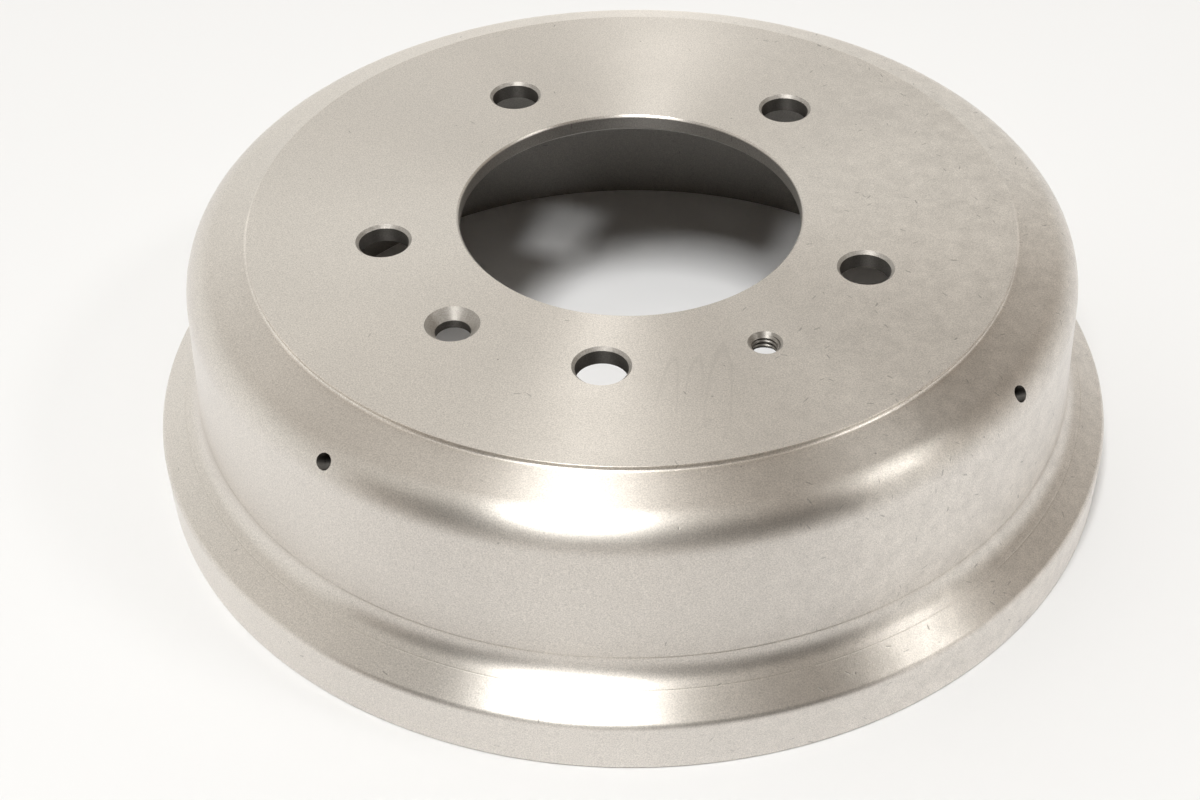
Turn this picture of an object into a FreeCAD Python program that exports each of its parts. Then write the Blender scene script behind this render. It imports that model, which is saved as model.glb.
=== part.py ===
import FreeCAD, Part
import math
import os

# Brake drum for a wheel held by five studs. It is one iron casting, turned all over.
# It stands on its open rim with the wheel face up. Z is the axle line, and the
# origin is the centre of the rim's end face. Lengths are in millimetres, angles in
# degrees, and azimuths are counted from +X towards +Y.

# Friction surface, which the brake shoes press on, and the corner at its closed end
FRICTION_DIAMETER = 279.4
INNER_TAPER = 5.0

# Rim at the open end, and the flange that slopes down to it from the wall
RIM_WIDTH = 26.6
RIM_HEIGHT = 18.5
RIM_EDGE_BREAK = 0.5
RIM_CORNER_RADIUS = 2.4
FLANGE_SLOPE = 34.2

# Side wall, measured at the closed end of the friction surface
WALL_THICKNESS = 9.4
WALL_DRAFT = 3.4
WALL_FOOT_RADIUS = 9.0

# Web and wheel face, with the shoulder that joins them to the wall
OVERALL_HEIGHT = 87.7
WEB_THICKNESS = 6.0
CROWN_THICKNESS = 11.5
HUB_SEAT_REACH = 23.5
HUB_SEAT_SLOPE = 45.0
FACE_INSET = 12.3
FACE_STEP_WIDTH = 0.9
FACE_STEP_DEPTH = 1.6
SHOULDER_SLOPE = 14.0
SHOULDER_RADIUS = 12.5

# Centre bore
BORE_DIAMETER = 114.3
BORE_FACE_CHAMFER = 0.75
BORE_SEAT_CHAMFER = 1.0

# Wheel studs, with the first hole at the front of the drum
STUD_CIRCLE_DIAMETER = 165.1
STUD_COUNT = 5
STUD_HOLE_DIAMETER = 16.5
STUD_HOLE_CHAMFER = 1.0
FIRST_STUD_AZIMUTH = -90.0

# Retaining screw and jacking screw, on the stud circle either side of the first stud
COUNTERSINK_ANGLE = 90.0
SCREW_HOLE_DIAMETER = 11.4
SCREW_HEAD_DIAMETER = 17.6
JACK_DRILL_DIAMETER = 8.0
JACK_MOUTH_DIAMETER = 11.0

# Two blind balance drillings, square to the round of the shoulder
BALANCE_HOLE_DIAMETER = 5.4
BALANCE_HOLE_DEPTH = 4.5
BALANCE_HOLE_ELEVATION = 40.0
BALANCE_HOLE_AZIMUTHS = (-122.0, -30.2)
DRILL_POINT_ANGLE = 118.0

# How far a cutting tool reaches outside the metal
TOOL_CLEARANCE = 5.0

ORIGIN = FreeCAD.Vector(0, 0, 0)
UP = FreeCAD.Vector(0, 0, 1)


def section_point(radius, height):
    """Point of the section plane, which holds the axle line."""
    return FreeCAD.Vector(radius, 0, height)


def falling(slope):
    """Unit direction that runs outwards and falls by the slope below level."""
    angle = math.radians(slope)
    return section_point(math.cos(angle), -math.sin(angle))


def meeting_point(start, direction, other_start, other_direction):
    """Point where two straight lines of the section cross."""
    offset = other_start - start
    across = direction.x * other_direction.z - direction.z * other_direction.x
    along = (offset.x * other_direction.z - offset.z * other_direction.x) / across
    return start + direction * along


class Section:
    """Outline of the turned section, drawn corner by corner with the metal on its right."""

    def __init__(self, start):
        self.start = start
        self.here = start
        self.edges = []

    def line_to(self, corner):
        """Straight side up to a sharp corner."""
        self.edges.append(Part.LineSegment(self.here, corner).toShape())
        self.here = corner

    def round_corner(self, corner, after, radius):
        """Straight side and then an arc that touches both sides of the corner."""
        arriving = (corner - self.here).normalize()
        leaving = (after - corner).normalize()
        length = radius * math.tan(arriving.getAngle(leaving) / 2)
        inwards = (leaving - arriving).normalize()
        centre = corner + inwards * math.hypot(radius, length)
        self.line_to(corner - arriving * length)
        end = corner + leaving * length
        self.edges.append(Part.Arc(self.here, centre - inwards * radius, end).toShape())
        self.here = end
        return centre

    def revolved(self):
        """Solid swept by the closed outline once round the axle line."""
        self.line_to(self.start)
        return Part.Face(Part.Wire(self.edges)).revolve(ORIGIN, UP, 360)


def turned_body():
    """Casting without its drilled holes, and the centre of the shoulder's round."""
    friction_radius = FRICTION_DIAMETER / 2
    rim_radius = friction_radius + RIM_WIDTH
    bore_radius = BORE_DIAMETER / 2
    face_radius = friction_radius - FACE_INSET
    seat_height = OVERALL_HEIGHT - WEB_THICKNESS
    crown_height = OVERALL_HEIGHT - CROWN_THICKNESS
    friction_top = crown_height - INNER_TAPER

    # The outside is a chain of straight sides: step, shoulder, wall, flange and rim.
    step_foot = section_point(face_radius + FACE_STEP_WIDTH, OVERALL_HEIGHT - FACE_STEP_DEPTH)
    wall_point = section_point(friction_radius + WALL_THICKNESS, friction_top)
    wall_fall = falling(90 - WALL_DRAFT)
    rim_corner = section_point(rim_radius, RIM_HEIGHT)
    rim_foot = section_point(rim_radius, RIM_EDGE_BREAK)
    shoulder_corner = meeting_point(step_foot, falling(SHOULDER_SLOPE), wall_point, wall_fall)
    wall_foot = meeting_point(wall_point, wall_fall, rim_corner, falling(FLANGE_SLOPE))

    # The underside of the web is cut back round the hub, with a ramp at its edge.
    seat_radius = STUD_CIRCLE_DIAMETER / 2 + HUB_SEAT_REACH
    ramp_width = (seat_height - crown_height) / math.tan(math.radians(HUB_SEAT_SLOPE))

    section = Section(section_point(bore_radius, seat_height + BORE_SEAT_CHAMFER))
    section.line_to(section_point(bore_radius, OVERALL_HEIGHT - BORE_FACE_CHAMFER))
    section.line_to(section_point(bore_radius + BORE_FACE_CHAMFER, OVERALL_HEIGHT))
    section.line_to(section_point(face_radius, OVERALL_HEIGHT))
    section.line_to(step_foot)
    shoulder_centre = section.round_corner(shoulder_corner, wall_foot, SHOULDER_RADIUS)
    section.round_corner(wall_foot, rim_corner, WALL_FOOT_RADIUS)
    section.round_corner(rim_corner, rim_foot, RIM_CORNER_RADIUS)
    section.line_to(rim_foot)
    section.line_to(section_point(rim_radius - RIM_EDGE_BREAK, 0))
    section.line_to(section_point(friction_radius, 0))
    section.line_to(section_point(friction_radius, friction_top))
    section.line_to(section_point(friction_radius - INNER_TAPER, crown_height))
    section.line_to(section_point(seat_radius + ramp_width, crown_height))
    section.line_to(section_point(seat_radius, seat_height))
    section.line_to(section_point(bore_radius + BORE_SEAT_CHAMFER, seat_height))
    return section.revolved(), shoulder_centre


def turned_tool(outline):
    """Cutting tool swept from (radius, height) corners round its own upright axis."""
    corners = [section_point(radius, height) for radius, height in outline]
    wire = Part.makePolygon(corners + corners[:1])
    return Part.Face(wire).revolve(ORIGIN, UP, 360)


def web_hole(azimuth, diameter, mouth_diameter):
    """Tool for a hole through the web on the stud circle, with a conical mouth."""
    radius = diameter / 2
    mouth_radius = mouth_diameter / 2
    flare = math.tan(math.radians(COUNTERSINK_ANGLE / 2))
    cone_depth = (mouth_radius - radius) / flare
    tool = turned_tool([
        (0, -WEB_THICKNESS - TOOL_CLEARANCE),
        (radius, -WEB_THICKNESS - TOOL_CLEARANCE),
        (radius, -cone_depth),
        (mouth_radius + TOOL_CLEARANCE * flare, TOOL_CLEARANCE),
        (0, TOOL_CLEARANCE),
    ])
    tool.translate(FreeCAD.Vector(STUD_CIRCLE_DIAMETER / 2, 0, OVERALL_HEIGHT))
    tool.rotate(ORIGIN, UP, azimuth)
    return tool


def balance_hole(azimuth, shoulder_centre):
    """Tool for a blind drilling with a drill point, square to the shoulder's round."""
    radius = BALANCE_HOLE_DIAMETER / 2
    point_depth = radius / math.tan(math.radians(DRILL_POINT_ANGLE / 2))
    tool = turned_tool([
        (0, -BALANCE_HOLE_DEPTH - point_depth),
        (radius, -BALANCE_HOLE_DEPTH),
        (radius, TOOL_CLEARANCE),
        (0, TOOL_CLEARANCE),
    ])
    outwards = falling(-BALANCE_HOLE_ELEVATION)
    tool.Placement = FreeCAD.Placement(
        shoulder_centre + outwards * SHOULDER_RADIUS,
        FreeCAD.Rotation(UP, outwards),
    )
    tool.rotate(ORIGIN, UP, azimuth)
    return tool


def drilling_tools(shoulder_centre):
    """One tool for each stud hole, screw hole and balance drilling."""
    pitch = 360 / STUD_COUNT
    stud_mouth = STUD_HOLE_DIAMETER + 2 * STUD_HOLE_CHAMFER
    tools = [
        web_hole(FIRST_STUD_AZIMUTH + number * pitch, STUD_HOLE_DIAMETER, stud_mouth)
        for number in range(STUD_COUNT)
    ]
    tools.append(web_hole(FIRST_STUD_AZIMUTH - pitch / 2, SCREW_HOLE_DIAMETER, SCREW_HEAD_DIAMETER))
    tools.append(web_hole(FIRST_STUD_AZIMUTH + pitch / 2, JACK_DRILL_DIAMETER, JACK_MOUTH_DIAMETER))
    tools.extend(balance_hole(azimuth, shoulder_centre) for azimuth in BALANCE_HOLE_AZIMUTHS)
    return tools


def brake_drum():
    """Turned casting with all its holes."""
    body, shoulder_centre = turned_body()
    return body.cut(drilling_tools(shoulder_centre))


def main():
    """Build the drum and write it as its own file."""
    os.makedirs("parts", exist_ok=True)
    drum = brake_drum()
    if len(drum.Solids) != 1 or not drum.isValid():
        raise ValueError("the drum isn't one valid solid")
    drum.Solids[0].exportStep("parts/brake_drum.step")
    box = drum.optimalBoundingBox()
    print(f"brake_drum: {box.XLength:.2f} x {box.YLength:.2f} x {box.ZLength:.2f} mm,"
          f" {drum.Volume / 1000:.1f} cm3, {len(drum.Faces)} faces")


main()
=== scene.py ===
"""Turned iron brake drum on a pale floor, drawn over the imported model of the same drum.

Sizes in the dataclasses are in millimetres and degrees unless a name says otherwise, and
the meshes are in metres. Z is the axle line, the drum stands on its open rim at height 0,
and azimuths are counted from +X towards +Y.
"""

import logging
import math
from dataclasses import dataclass, field
from enum import Enum

import bpy
import numpy as np
from mathutils import Matrix, Vector


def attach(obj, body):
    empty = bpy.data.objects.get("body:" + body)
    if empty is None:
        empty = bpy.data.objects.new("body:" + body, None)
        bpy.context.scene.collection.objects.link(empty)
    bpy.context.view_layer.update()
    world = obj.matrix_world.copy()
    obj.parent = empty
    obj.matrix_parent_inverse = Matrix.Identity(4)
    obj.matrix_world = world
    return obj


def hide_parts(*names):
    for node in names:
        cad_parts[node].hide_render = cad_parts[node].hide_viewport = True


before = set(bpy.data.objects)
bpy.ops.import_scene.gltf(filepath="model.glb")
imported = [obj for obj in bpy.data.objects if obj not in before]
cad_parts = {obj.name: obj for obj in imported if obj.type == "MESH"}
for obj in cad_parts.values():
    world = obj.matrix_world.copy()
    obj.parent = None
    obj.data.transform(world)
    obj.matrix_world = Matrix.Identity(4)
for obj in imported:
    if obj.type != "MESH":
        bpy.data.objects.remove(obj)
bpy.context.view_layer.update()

Array = np.ndarray
Colour = tuple[float, float, float]
Place = tuple[float, float, float]
Socket = bpy.types.NodeSocket

LOG = logging.getLogger("brake_drum")
METRES = 0.001
UP = np.array([0.0, 0.0, 1.0])

# Columns of faces round the axle, and the degrees from one to the next
AROUND = 400
STEP = 360.0 / AROUND

# Points are welded in cells of a tenth of a micron, shifted off the round numbers
WELD_CELLS = 1.0e4
WELD_SHIFT = 0.137

# Edges that turn by more than this angle look sharp
SHARP_ANGLE = 24.0

# Rings of a patch, as shares of the way from a hole's edge to the patch's border
PATCH_SHARES = np.array([0.0, 0.06, 0.2, 0.45, 0.7, 1.0])


def unit(vectors: Array) -> Array:
    """Divide each vector of the last axis by its length."""
    return vectors / np.linalg.norm(vectors, axis=-1, keepdims=True)


def falling(slope: float) -> Array:
    """Unit direction in the section plane that runs outwards and falls by the slope."""
    angle = math.radians(slope)
    return np.array([math.cos(angle), -math.sin(angle)])


def meeting(start: Array, heading: Array, other: Array, other_heading: Array) -> Array:
    """Point where two straight lines of the section plane cross.

    Args:
        start: Point on the first line.
        heading: Direction of the first line.
        other: Point on the second line.
        other_heading: Direction of the second line.

    Returns:
        The crossing point as (radius, height).
    """
    offset = other - start
    across = heading[0] * other_heading[1] - heading[1] * other_heading[0]
    along = (offset[0] * other_heading[1] - offset[1] * other_heading[0]) / across
    return start + heading * along


def turned(radius: Array, height: Array, azimuth: Array) -> Array:
    """Point (radius cos azimuth, radius sin azimuth, height), for arrays of any one shape."""
    angle = np.radians(azimuth)
    return np.stack([radius * np.cos(angle), radius * np.sin(angle), height + 0 * angle], axis=-1)


def marks_round_axle(azimuth: Array) -> Array:
    """Direction of the lathe's marks, which run round the axle: (-sin, cos, 0)."""
    angle = np.radians(azimuth)
    return np.stack([-np.sin(angle), np.cos(angle), 0 * angle], axis=-1)


def axes_at(azimuth: float) -> tuple[Array, Array]:
    """Level unit directions at an azimuth: away from the axle, and round it."""
    angle = np.array(azimuth)
    return turned(1.0, 0.0, angle), marks_round_axle(angle)


def circle_round(angles: Array, first: Array, second: Array) -> tuple[Array, Array]:
    """Unit circle in the plane of two directions.

    Args:
        angles: Angle of each point, counted from the first direction to the second.
        first: First direction.
        second: Second direction, square to the first.

    Returns:
        The points, and the direction along the circle at each.
    """
    cosine = np.cos(angles)[:, None]
    sine = np.sin(angles)[:, None]
    return cosine * first + sine * second, cosine * second - sine * first


def direction(azimuth: float, elevation: float) -> Array:
    """Unit vector towards an azimuth and an elevation."""
    return turned(math.cos(math.radians(elevation)), math.sin(math.radians(elevation)),
                  np.array(azimuth))


class Wall(Enum):
    """What the wall of a hole through the web is like below its conical mouth."""

    PLAIN = "plain"
    THREADED = "threaded"


class Shell:
    """Closed mesh put together from grids that share their border points."""

    def __init__(self) -> None:
        """Start with no faces."""
        self.points: list[Array] = []
        self.across: list[Array] = []
        self.lay: list[Array] = []
        # Per point: how smooth the metal is and how bright it is painted, dark for painted shade,
        # above 1 for a painted highlight
        self.finish_and_painted_light: list[Array] = []
        self.quads: list[Array] = []
        self.fans: list[Array] = []
        self.count = 0

    def _hold(self, points: Array, across: Array, lay: Array, finish_and_painted_light: Array | float) -> int:
        """Store points with their attributes and return the number of the first one."""
        first = self.count
        shape = points.shape
        self.points.append(points.reshape(-1, 3))
        self.across.append(np.broadcast_to(across, shape[:-1]).reshape(-1))
        self.lay.append(np.broadcast_to(lay, shape).reshape(-1, 3))
        self.finish_and_painted_light.append(np.broadcast_to(finish_and_painted_light, shape[:-1]).reshape(-1))
        self.count += self.points[-1].shape[0]
        return first

    def add_grid(self, points: Array, across: Array, lay: Array, finish_and_painted_light: Array | float = 1.0,
                 keep: Array | None = None) -> None:
        """Add a grid whose columns close into a ring.

        Cell (i, j) becomes the face (i, j), (i+1, j), (i+1, j+1), (i, j+1), which looks
        along rows cross columns.

        Args:
            points: Positions in millimetres, shaped (rows, columns, 3).
            across: Distance across the tool marks, in millimetres, per point.
            lay: Direction along the tool marks, per point or per column.
            finish_and_painted_light: How bright and how smooth the metal is: 0 is rough and painted
                dark as shade, 1 is turned, more is a painted highlight.
            keep: Which of the (rows - 1, columns) cells to make, or None for all.
        """
        rows, columns = points.shape[:2]
        first = self._hold(points, across, lay, finish_and_painted_light)
        row, column = np.meshgrid(np.arange(rows - 1), np.arange(columns), indexing="ij")
        following = (column + 1) % columns
        cells = np.stack([
            row * columns + column,
            (row + 1) * columns + column,
            (row + 1) * columns + following,
            row * columns + following,
        ], axis=-1)
        if keep is not None:
            cells = cells[keep]
        self.quads.append(first + cells.reshape(-1, 4))

    def add_fan(self, tip: Array, ring: Array, across: Array, lay: Array, finish_and_painted_light: float) -> None:
        """Close a ring of points with triangles that meet in a tip.

        Args:
            tip: The tip's position.
            ring: Positions of the ring, shaped (columns, 3).
            across: Distance across the tool marks per point of the ring.
            lay: Direction along the tool marks per point of the ring.
            finish_and_painted_light: How bright and smooth the metal is, with painted shade and
                highlight.
        """
        columns = ring.shape[0]
        first = self._hold(np.stack([np.broadcast_to(tip, ring.shape), ring]),
                           np.stack([across * 0, across]), lay, finish_and_painted_light)
        column = np.arange(columns)
        following = (column + 1) % columns
        self.fans.append(first + np.stack([column, columns + column, columns + following], axis=-1))

    def mesh(self, name: str) -> bpy.types.Mesh:
        """Weld the border points and make the mesh.

        The attributes are kept per face corner, so that they may jump at an edge.

        Args:
            name: Name of the mesh.

        Returns:
            The mesh in metres, smooth shaded with its sharp edges marked.
        """
        points = np.concatenate(self.points)
        quads = np.concatenate(self.quads)
        fans = np.concatenate(self.fans)
        keys = np.floor(points * WELD_CELLS + WELD_SHIFT).astype(np.int64)
        _, chosen, welded = np.unique(keys, axis=0, return_index=True, return_inverse=True)
        welded = welded.reshape(-1)
        corners = np.concatenate([quads.reshape(-1), fans.reshape(-1)])
        mesh = bpy.data.meshes.new(name)
        mesh.from_pydata((points[chosen] * METRES).tolist(), [],
                         welded[quads].tolist() + welded[fans].tolist())
        for attribute, kind, item, values in (
                ("across", "FLOAT", "value", np.concatenate(self.across) * METRES),
                ("lay", "FLOAT_VECTOR", "vector", np.concatenate(self.lay)),
                ("finish_and_painted_light", "FLOAT", "value", np.concatenate(self.finish_and_painted_light))):
            data = mesh.attributes.new(attribute, kind, "CORNER").data
            data.foreach_set(item, values[corners].astype(np.float32).reshape(-1))
        mesh.shade_smooth()
        mesh.set_sharp_from_angle(angle=math.radians(SHARP_ANGLE))
        mesh.validate()
        return mesh


class TurnedLine:
    """Outline of a turned section as rows of (radius, height), drawn corner by corner."""

    def __init__(self, radius: float, height: float) -> None:
        """Start the outline at one point."""
        self.rows: list[Array] = [np.array([radius, height])]

    @property
    def here(self) -> Array:
        """Last point of the outline."""
        return self.rows[-1]

    def line_to(self, corner: Array | tuple[float, float], pieces: int = 1,
                margin: float = 0.0) -> None:
        """Straight side: start + (corner - start) t.

        Args:
            corner: End of the side.
            pieces: How many equal rows of faces the side gets.
            margin: Width of a narrow extra row at each end, which keeps the shading of a
                round next to the side from spreading over it.
        """
        start = self.here
        way = np.asarray(corner) - start
        shares = np.linspace(0.0, 1.0, pieces + 1)
        if margin > 0.0:
            length = float(np.linalg.norm(way))
            shares = np.union1d(shares, [margin / length, 1.0 - margin / length])
        self.rows.extend(start + way * share for share in shares[1:])

    def round_corner(self, corner: Array, after: Array, radius: float, steps: int,
                     pieces: int = 1, margin: float = 0.0) -> Array:
        """Straight side and then an arc that touches both sides of the corner.

        The arc's points are centre + radius (cos a, sin a), with a running evenly from the
        first point of touch to the second.

        Args:
            corner: Where the two sides would meet.
            after: A point on the next side.
            radius: Radius of the arc.
            steps: How many rows of faces the arc gets.
            pieces: Rows of faces on the straight side.
            margin: Narrow rows at the ends of the straight side.

        Returns:
            Centre of the arc.
        """
        arriving = unit(corner - self.here)
        leaving = unit(after - corner)
        turn = math.acos(float(np.clip(arriving @ leaving, -1.0, 1.0)))
        length = radius * math.tan(turn / 2)
        centre = corner + unit(leaving - arriving) * math.hypot(radius, length)
        self.line_to(corner - arriving * length, pieces, margin)
        begin = math.atan2(*(self.here - centre)[::-1])
        side = np.sign(arriving[0] * leaving[1] - arriving[1] * leaving[0])
        angles = begin + side * turn * np.linspace(0.0, 1.0, steps + 1)[1:]
        self.rows.extend(centre + radius * np.array([math.cos(a), math.sin(a)]) for a in angles)
        return centre

    def groove(self, onwards: Array, middle: Array, width: float, depth: float,
               pieces: int) -> None:
        """Straight side that ends in a fine V-shaped line.

        Args:
            onwards: A later point on the same straight side.
            middle: Middle of the V on the side.
            width: Width of the V.
            depth: Depth of the V, square to the side.
            pieces: Rows of faces on the side before the V.
        """
        heading = unit(onwards - self.here)
        inwards = np.array([heading[1], -heading[0]])
        self.line_to(middle - heading * width / 2, pieces, 0.1)
        self.line_to(middle + inwards * depth)
        self.line_to(middle + heading * width / 2)


@dataclass
class Window:
    """Block of grid cells that is left out of a turned surface for one hole.

    Columns count steps of the azimuth and rows count points of the section.
    """

    first_column: int
    last_column: int
    first_row: int
    last_row: int

    def border(self) -> tuple[Array, Array]:
        """Columns and rows of the block's border points, once round.

        The border starts on the last row, goes towards rising columns, and comes back on
        the first row, so that it turns from the row direction to the column direction.

        Returns:
            Column numbers and row numbers of the border points.
        """
        columns = np.arange(self.first_column, self.last_column)
        rows = np.arange(self.first_row, self.last_row)
        column = np.concatenate([
            columns, np.full(len(rows), self.last_column),
            columns[::-1] + 1, np.full(len(rows), self.first_column)])
        row = np.concatenate([
            np.full(len(columns), self.last_row), rows[::-1] + 1,
            np.full(len(columns), self.first_row), rows])
        return column, row

    def cut(self, keep: Array) -> None:
        """Mark the block's cells as left out in the mask of kept cells."""
        columns = np.arange(self.first_column, self.last_column) % AROUND
        keep[self.first_row:self.last_row, columns] = False


@dataclass
class WebHole:
    """Hole through the web on the stud circle, with a conical mouth at the wheel face."""

    azimuth: float
    radius: float
    mouth_radius: float
    wall: Wall = Wall.PLAIN
    wall_rows: int = 4
    # Painted shade: the wall is painted dark and the mouth a little dark, and both are rougher than
    # the turned metal
    wall_finish_and_shade: float = 0.1
    mouth_finish_and_shade: float = 0.6
    mouth_margin: float = 0.06
    thread_pitch: float = 1.5875
    thread_major_radius: float = 4.7625
    thread_flank_angle: float = 30.0
    thread_rows: int = 110
    # Painted highlight on the thread's crests, which are also smoother
    crest_finish_and_highlight: float = 0.6
    outlet_chamfer: float = 0.25

    @property
    def outlet_radius(self) -> float:
        """Radius of the hole's edge on the underside."""
        if self.wall is Wall.PLAIN:
            return self.radius
        return self.thread_major_radius + self.outlet_chamfer

    def _profile(self, angles: Array, top: float, bottom: float) -> tuple[Array, ...]:
        """Radius, height, and painted brightness and finish of the wall, row by row from the
        underside up.

        A plain wall is a cylinder and a 45 degree cone. A threaded wall takes at every
        height the largest of the top cone, the bottom cone and the thread, whose radius
        rises from its crest to its root on 60 degree flanks with the phase
        height / pitch - angle / full turn.

        Args:
            angles: Angle of each column round the hole, in radians.
            top: Height of the wheel face.
            bottom: Height of the underside.

        Returns:
            Radius, height, and painted brightness and finish, each shaped (rows, columns).
        """
        depth = self.mouth_radius - self.radius
        if self.wall is Wall.PLAIN:
            height = np.concatenate([
                np.linspace(bottom, top - depth - self.mouth_margin, self.wall_rows),
                np.linspace(top - depth, top, self.wall_rows)])
            radius = self.radius + np.clip(height - (top - depth), 0.0, None)
            finish_and_painted_light = np.repeat([self.wall_finish_and_shade, self.mouth_finish_and_shade], self.wall_rows)
            return tuple(part[:, None] + 0 * angles for part in (radius, height, finish_and_painted_light))
        height = np.linspace(bottom, top, self.thread_rows)[:, None]
        phase = (height / self.thread_pitch - angles / (2 * math.pi)) % 1.0
        from_root = np.abs(phase - 0.5) * self.thread_pitch
        rise = self.thread_major_radius - self.radius
        slope = math.tan(math.radians(self.thread_flank_angle))
        flank = (from_root - self.thread_pitch / 16) / slope
        thread = self.thread_major_radius - np.clip(flank, 0.0, rise)
        mouth = self.mouth_radius - (top - height)
        outlet = self.outlet_radius - (height - bottom)
        radius = np.maximum(np.maximum(thread, mouth), np.maximum(outlet, self.radius))
        # The crests of the thread are painted brighter than its roots: painted highlight on the
        # crests, painted shade in the roots
        crest = self.crest_finish_and_highlight * np.clip(1.0 - (radius - self.radius) / rise, 0.0, 1.0)
        finish_and_painted_light = np.where(radius > mouth + 1.0e-6, self.wall_finish_and_shade + crest, self.mouth_finish_and_shade)
        return radius, height + 0 * angles, finish_and_painted_light

    def ring_at(self, angles: Array, circle: float, radius: Array, height: Array) -> Array:
        """Points round the hole's axis.

        The point at an angle lies radius cos(angle) outwards and radius sin(angle) towards
        rising azimuth from the hole's centre.

        Args:
            angles: Angle of each point round the hole, in radians.
            circle: Radius of the stud circle.
            radius: Distance from the hole's axis.
            height: Height of the points.

        Returns:
            Positions shaped (columns, 3) or (rows, columns, 3).
        """
        ring, _ = circle_round(angles, *axes_at(self.azimuth))
        centre = turned(circle, 0.0, np.array(self.azimuth))
        return centre + radius[..., None] * ring + height[..., None] * UP

    def build(self, shell: Shell, angles: Array, circle: float, top: float,
              bottom: float) -> None:
        """Add the hole's wall, from the underside up to the wheel face.

        The drilled wall is rough and painted dark, as painted shade in the hole, with marks that
        run round it. The mouth is brighter, though painted a little dark as shade too, and its
        marks run down the cone, as a countersink leaves them.

        Args:
            shell: Mesh that the wall belongs to.
            angles: Angle of each column round the hole, in radians.
            circle: Radius of the stud circle.
            top: Height of the wheel face.
            bottom: Height of the underside.
        """
        radius, height, finish_and_painted_light = self._profile(angles, top, bottom)
        points = self.ring_at(angles, circle, radius, height)
        ring, along = circle_round(angles, *axes_at(self.azimuth))
        across = height + radius
        if self.wall is Wall.THREADED:
            shell.add_grid(points, across, along, finish_and_painted_light)
            return
        rows = self.wall_rows
        shell.add_grid(points[:rows + 1], across[:rows + 1], along, self.wall_finish_and_shade)
        shell.add_grid(points[rows:], across[rows:], ring - UP, finish_and_painted_light[rows:])


@dataclass
class BalanceHole:
    """Blind drilling with a drill point, square to the round of the shoulder."""

    azimuth: float
    radius: float = 2.7
    depth: float = 4.5
    point_angle: float = 118.0
    elevation: float = 40.0
    # Painted shade: the drilling's wall is painted dark, and it is rougher
    wall_finish_and_shade: float = 0.1
    wall_rows: int = 6
    tip_share: float = 0.3
    tip_across: float = 0.8
    newton_steps: int = 6

    def _axes(self, angles: Array, centre: Array, round_radius: float) -> tuple[Array, ...]:
        """Place and directions of the drilling.

        Args:
            angles: Angle of each point round the hole, in radians.
            centre: Centre of the round in the section, as (radius, height).
            round_radius: Radius of the round.

        Returns:
            The axis out of the metal, the point where it leaves the round, the unit circle
            round the axis, and the direction along that circle.
        """
        tilt = math.radians(self.elevation)
        level, sideways = axes_at(self.azimuth)
        outwards = math.cos(tilt) * level + math.sin(tilt) * UP
        down = math.sin(tilt) * level - math.cos(tilt) * UP
        foot = turned(centre[0], centre[1], np.array(self.azimuth)) + outwards * round_radius
        return outwards, foot, *circle_round(angles, down, sideways)

    def mouth(self, angles: Array, centre: Array, round_radius: float) -> Array:
        """Curve where the drilling meets the shoulder's round.

        A point of the drilling's cylinder is moved along the axis until its distance from
        the round's centre circle is the round's radius, with a few Newton steps.

        Args:
            angles: Angle of each point round the hole, in radians.
            centre: Centre of the round in the section, as (radius, height).
            round_radius: Radius of the round.

        Returns:
            Positions shaped (columns, 3).
        """
        outwards, foot, ring, _ = self._axes(angles, centre, round_radius)
        along = np.zeros(len(angles))
        for _ in range(self.newton_steps):
            point = foot + self.radius * ring + along[:, None] * outwards
            level = np.hypot(point[:, 0], point[:, 1])
            reach = np.hypot(level - centre[0], point[:, 2] - centre[1])
            spread = (point[:, :2] @ outwards[:2]) / level
            slope = ((level - centre[0]) * spread + (point[:, 2] - centre[1]) * outwards[2]) / reach
            along = along - (reach - round_radius) / slope
        return foot + self.radius * ring + along[:, None] * outwards

    def build(self, shell: Shell, mouth: Array, angles: Array, centre: Array,
              round_radius: float) -> None:
        """Add the drilling's wall and its conical end.

        Args:
            shell: Mesh that the wall belongs to.
            mouth: The mouth curve, shaped (columns, 3).
            angles: Angle of each point round the hole, in radians.
            centre: Centre of the round in the section, as (radius, height).
            round_radius: Radius of the round.
        """
        outwards, foot, ring, along = self._axes(angles, centre, round_radius)
        end = foot + self.radius * ring - self.depth * outwards
        drop = self.radius / math.tan(math.radians(self.point_angle / 2))
        tip = foot - (self.depth + drop) * outwards
        shares = np.linspace(0.0, 1.0, self.wall_rows)[:, None]
        wall = end + (mouth - end) * shares[..., None]
        shell.add_grid(wall, self.depth * shares, along, self.wall_finish_and_shade)
        inner = tip + (end - tip) * self.tip_share
        reach = np.array([[self.tip_across], [self.radius]])
        shell.add_grid(np.stack([inner, end]), reach, along, self.wall_finish_and_shade)
        shell.add_fan(tip, inner, self.tip_across + 0 * angles, along, self.wall_finish_and_shade)


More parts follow.
